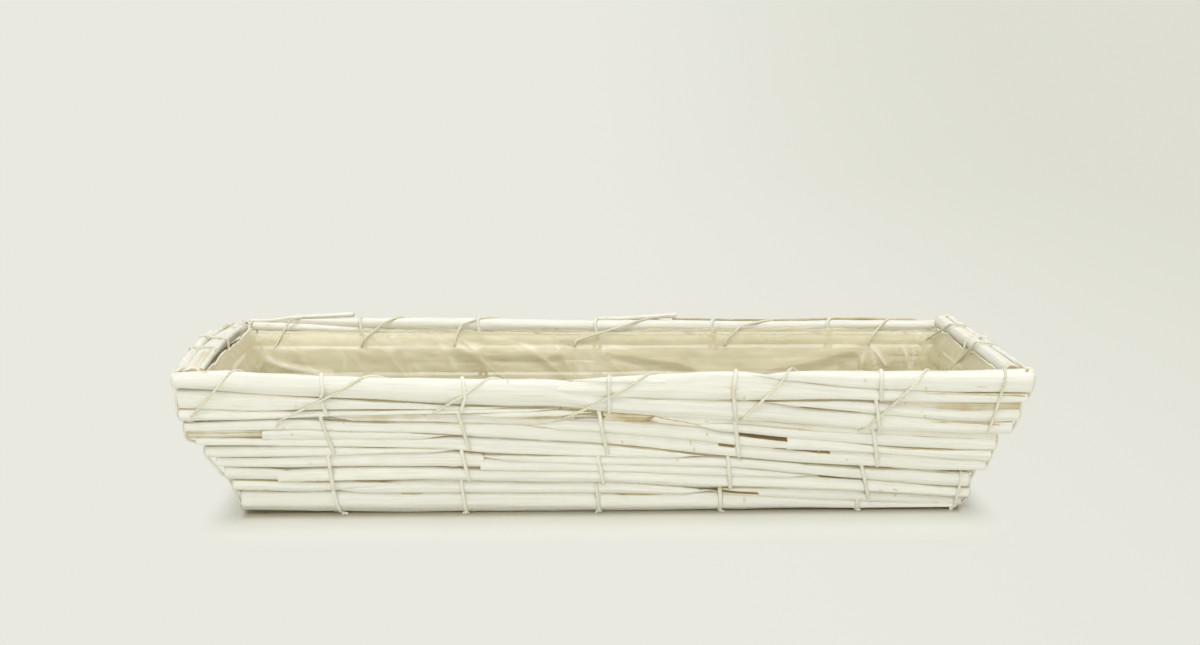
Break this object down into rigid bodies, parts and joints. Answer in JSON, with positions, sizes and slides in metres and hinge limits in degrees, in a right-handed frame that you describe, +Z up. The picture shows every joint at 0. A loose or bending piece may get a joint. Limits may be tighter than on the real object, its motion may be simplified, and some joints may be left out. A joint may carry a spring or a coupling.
{
  "type": "reed basket",
  "caption": "Long, low rectangular basket of whitewashed reeds in tied courses that flare to the rim, with a clear foil liner sewn in for planting or display.",
  "frame": {"origin": "middle of the footprint, on the surface the basket stands on", "axes": "+X along the length, +Y towards the back long wall, +Z up"},
  "size_m": [0.6104, 0.2243, 0.1205],
  "materials": {
    "reed": "chalky whitewash over pale wood",
    "twine": "matte twisted paper",
    "foil": "clear thin film, glossy"
  },
  "bodies": {
    "root": {"back_foot_reed": "reed", "back_lower_reed_1": "reed", "back_lower_reed_2": "reed", "back_middle_reed_1": "reed", "back_middle_reed_2": "reed", "back_middle_reed_3": "reed", "back_rim_reed_1": "reed", "back_rim_reed_2": "reed", "back_upper_reed_1": "reed", "back_upper_reed_2": "reed", "base_reed_1": "reed", "base_reed_2": "reed", "base_reed_3": "reed", "base_reed_4": "reed", "base_reed_5": "reed", "base_reed_6": "reed", "corner_tie_back_left": "twine", "corner_tie_front_right": "twine", "corner_tie_left_front": "twine", "corner_tie_right_back": "twine", "end_tie_left": "twine", "end_tie_right": "twine", "foil_liner": "foil", "front_foot_reed": "reed", "front_lower_reed_1": "reed", "front_lower_reed_2": "reed", "front_middle_reed_1": "reed", "front_middle_reed_2": "reed", "front_middle_reed_3": "reed", "front_rim_reed_1": "reed", "front_rim_reed_2": "reed", "front_upper_reed_1": "reed", "front_upper_reed_2": "reed", "left_foot_reed": "reed", "left_lower_reed_1": "reed", "left_lower_reed_2": "reed", "left_middle_reed_1": "reed", "left_middle_reed_2": "reed", "left_rim_reed_1": "reed", "left_rim_reed_2": "reed", "left_upper_reed_1": "reed", "left_upper_reed_2": "reed", "right_foot_reed": "reed", "right_lower_reed_1": "reed", "right_lower_reed_2": "reed", "right_middle_reed_1": "reed", "right_middle_reed_2": "reed", "right_rim_reed_1": "reed", "right_rim_reed_2": "reed", "right_upper_reed_1": "reed", "right_upper_reed_2": "reed", "rim_lashing": "twine", "tie_column_1": "twine", "tie_column_2": "twine", "tie_column_3": "twine", "tie_column_4": "twine", "tie_column_5": "twine"}
  },
  "joints": []
}
